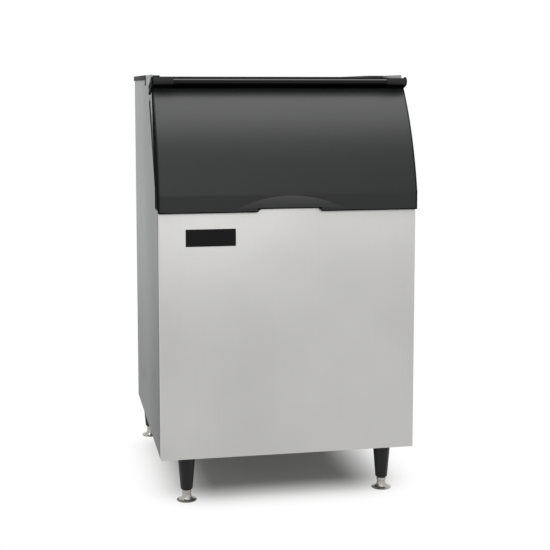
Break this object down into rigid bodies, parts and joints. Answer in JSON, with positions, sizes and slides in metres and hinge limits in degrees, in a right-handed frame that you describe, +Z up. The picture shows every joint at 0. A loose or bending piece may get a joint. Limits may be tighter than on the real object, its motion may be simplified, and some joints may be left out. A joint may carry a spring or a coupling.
{
  "type": "ice storage bin",
  "caption": "Insulated floor-standing ice storage bin: steel cabinet on levelling legs, slanted lift-up front door, open top for an ice maker to drop ice through.",
  "frame": {"origin": "on the floor, midway between the bin's sides and midway between its frontmost and rearmost faces", "axes": "+Z up, the door and front panel face -Y, +X is to the right for someone who faces the door"},
  "size_m": [0.7726, 0.8, 1.2586],
  "materials": {
    "stainless": "vertically brushed stainless steel",
    "zinc_plate": "zinc-plated sheet steel",
    "badge_black": "smooth black plate, blank",
    "foam": "rigid foam, cast between the panels",
    "liner_white": "white moulded plastic, satin",
    "black_plastic": "black plastic, finely textured",
    "rail_black": "black extruded plastic, satin",
    "dark_grey_plastic": "dark grey moulded plastic",
    "rubber_black": "soft black rubber",
    "bracket_black": "black powder-coated steel",
    "nickel": "bright nickel-plated steel",
    "leg_black": "black moulded plastic, satin",
    "pan_grey": "light grey moulded plastic",
    "nylon": "natural nylon",
    "baffle_plastic": "white sheet plastic, satin",
    "scoop_plastic": "blue moulded plastic",
    "strainer_steel": "perforated stainless steel"
  },
  "bodies": {
    "cabinet": {"side_panel_left": "stainless", "side_panel_right": "stainless", "back_panel": "stainless", "front_panel": "stainless", "header_channel": "stainless", "base_pan": "zinc_plate", "badge_plate": "badge_black", "insulation_left": "foam", "insulation_right": "foam", "insulation_back": "foam", "insulation_front": "foam", "insulation_floor": "foam", "liner": "liner_white", "sill_cap": "black_plastic", "jamb_left": "black_plastic", "jamb_right": "black_plastic", "lintel": "black_plastic", "top_rim": "dark_grey_plastic", "door_bumper_left": "rubber_black", "door_bumper_right": "rubber_black", "hinge_bracket_left": "bracket_black", "hinge_bracket_right": "bracket_black", "hinge_pin_left": "nickel", "hinge_pin_right": "nickel", "bracket_screw_left": "nickel", "bracket_screw_right": "nickel", "leg_plate_front_left": "zinc_plate", "leg_plate_front_right": "zinc_plate", "leg_plate_back_left": "zinc_plate", "leg_plate_back_right": "zinc_plate", "leg_front_left": "leg_black", "leg_front_right": "leg_black", "leg_back_left": "leg_black", "leg_back_right": "leg_black", "drain_fitting": "dark_grey_plastic", "drain_nut": "dark_grey_plastic", "baffle_bracket_left": "liner_white", "baffle_bracket_right": "liner_white", "scoop_holder": "liner_white"},
    "door": {"door_shell": "black_plastic", "door_insulation": "foam", "door_pan": "pan_grey", "door_gasket": "rubber_black", "hinge_rail": "rail_black", "hinge_bush_left": "nylon", "hinge_bush_right": "nylon"},
    "foot_front_left": {"foot_front_left": "nickel"},
    "foot_front_right": {"foot_front_right": "nickel"},
    "foot_back_left": {"foot_back_left": "nickel"},
    "foot_back_right": {"foot_back_right": "nickel"},
    "baffle": {"ice_baffle": "baffle_plastic"},
    "scoop": {"scoop": "scoop_plastic"},
    "strainer": {"drain_strainer": "strainer_steel"}
  },
  "joints": [
    {"name": "door_hinge", "type": "hinge", "parent": "cabinet", "child": "door", "pos_m": [0, -0.2634, 1.2385], "axis": [-1, 0, 0], "range_deg": [0, 100]},
    {"name": "foot_front_left_screw", "type": "slide", "parent": "cabinet", "child": "foot_front_left", "axis": [0, 0, -1], "range_m": [0, 0.022]},
    {"name": "foot_front_right_screw", "type": "slide", "parent": "cabinet", "child": "foot_front_right", "axis": [0, 0, -1], "range_m": [0, 0.022]},
    {"name": "foot_back_left_screw", "type": "slide", "parent": "cabinet", "child": "foot_back_left", "axis": [0, 0, -1], "range_m": [0, 0.022]},
    {"name": "foot_back_right_screw", "type": "slide", "parent": "cabinet", "child": "foot_back_right", "axis": [0, 0, -1], "range_m": [0, 0.022]},
    {"name": "baffle_hinge", "type": "hinge", "parent": "cabinet", "child": "baffle", "pos_m": [0, -0.0744, 1.165], "axis": [1, 0, 0], "range_deg": [-5, 75]},
    {"name": "scoop_lift", "type": "slide", "parent": "cabinet", "child": "scoop", "axis": [0, 0, 1], "range_m": [0, 0.11]},
    {"name": "strainer_lift", "type": "slide", "parent": "cabinet", "child": "strainer", "axis": [0, 0, 1], "range_m": [0, 0.05]}
  ]
}
